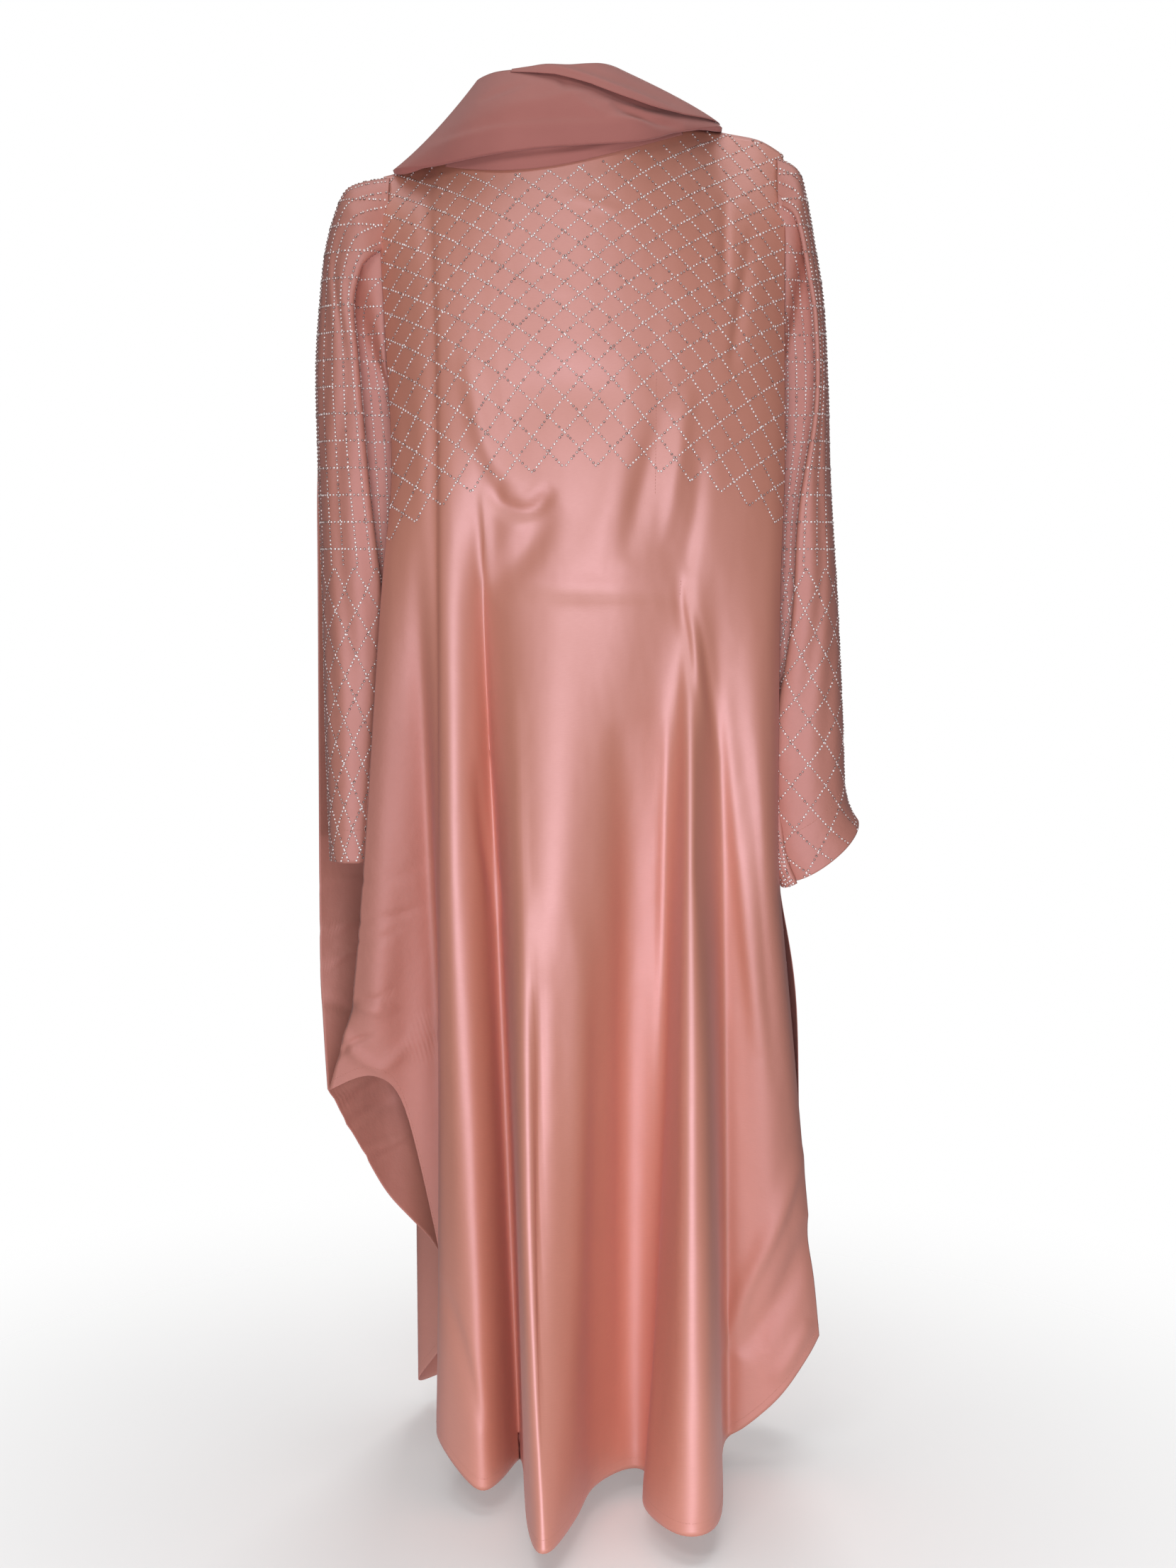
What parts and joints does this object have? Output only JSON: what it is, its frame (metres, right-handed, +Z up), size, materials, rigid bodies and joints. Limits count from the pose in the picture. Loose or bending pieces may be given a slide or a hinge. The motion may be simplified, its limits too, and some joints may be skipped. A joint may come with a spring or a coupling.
{
  "type": "abaya",
  "caption": "Full-length hollow abaya in rose satin: flared front and wide back panel, long sleeves out of side slits, draped neck cloth, stone lattice yoke",
  "frame": {"origin": "middle of the shoulder line, where the wearer's shoulders carry the garment", "axes": "+Z up, -Y out of the front, +X towards the wearer's left"},
  "size_m": [0.5914, 0.5038, 1.4959],
  "materials": {
    "rose_satin": "satin, fine weave",
    "mauve_crepe": "matte crepe"
  },
  "bodies": {
    "root": {"front_panel": "rose_satin", "back_panel": "rose_satin", "sleeve_right": "rose_satin", "sleeve_left": "rose_satin", "neck_drape": "mauve_crepe", "neck_crossing": "mauve_crepe", "neck_under": "mauve_crepe"}
  },
  "joints": []
}
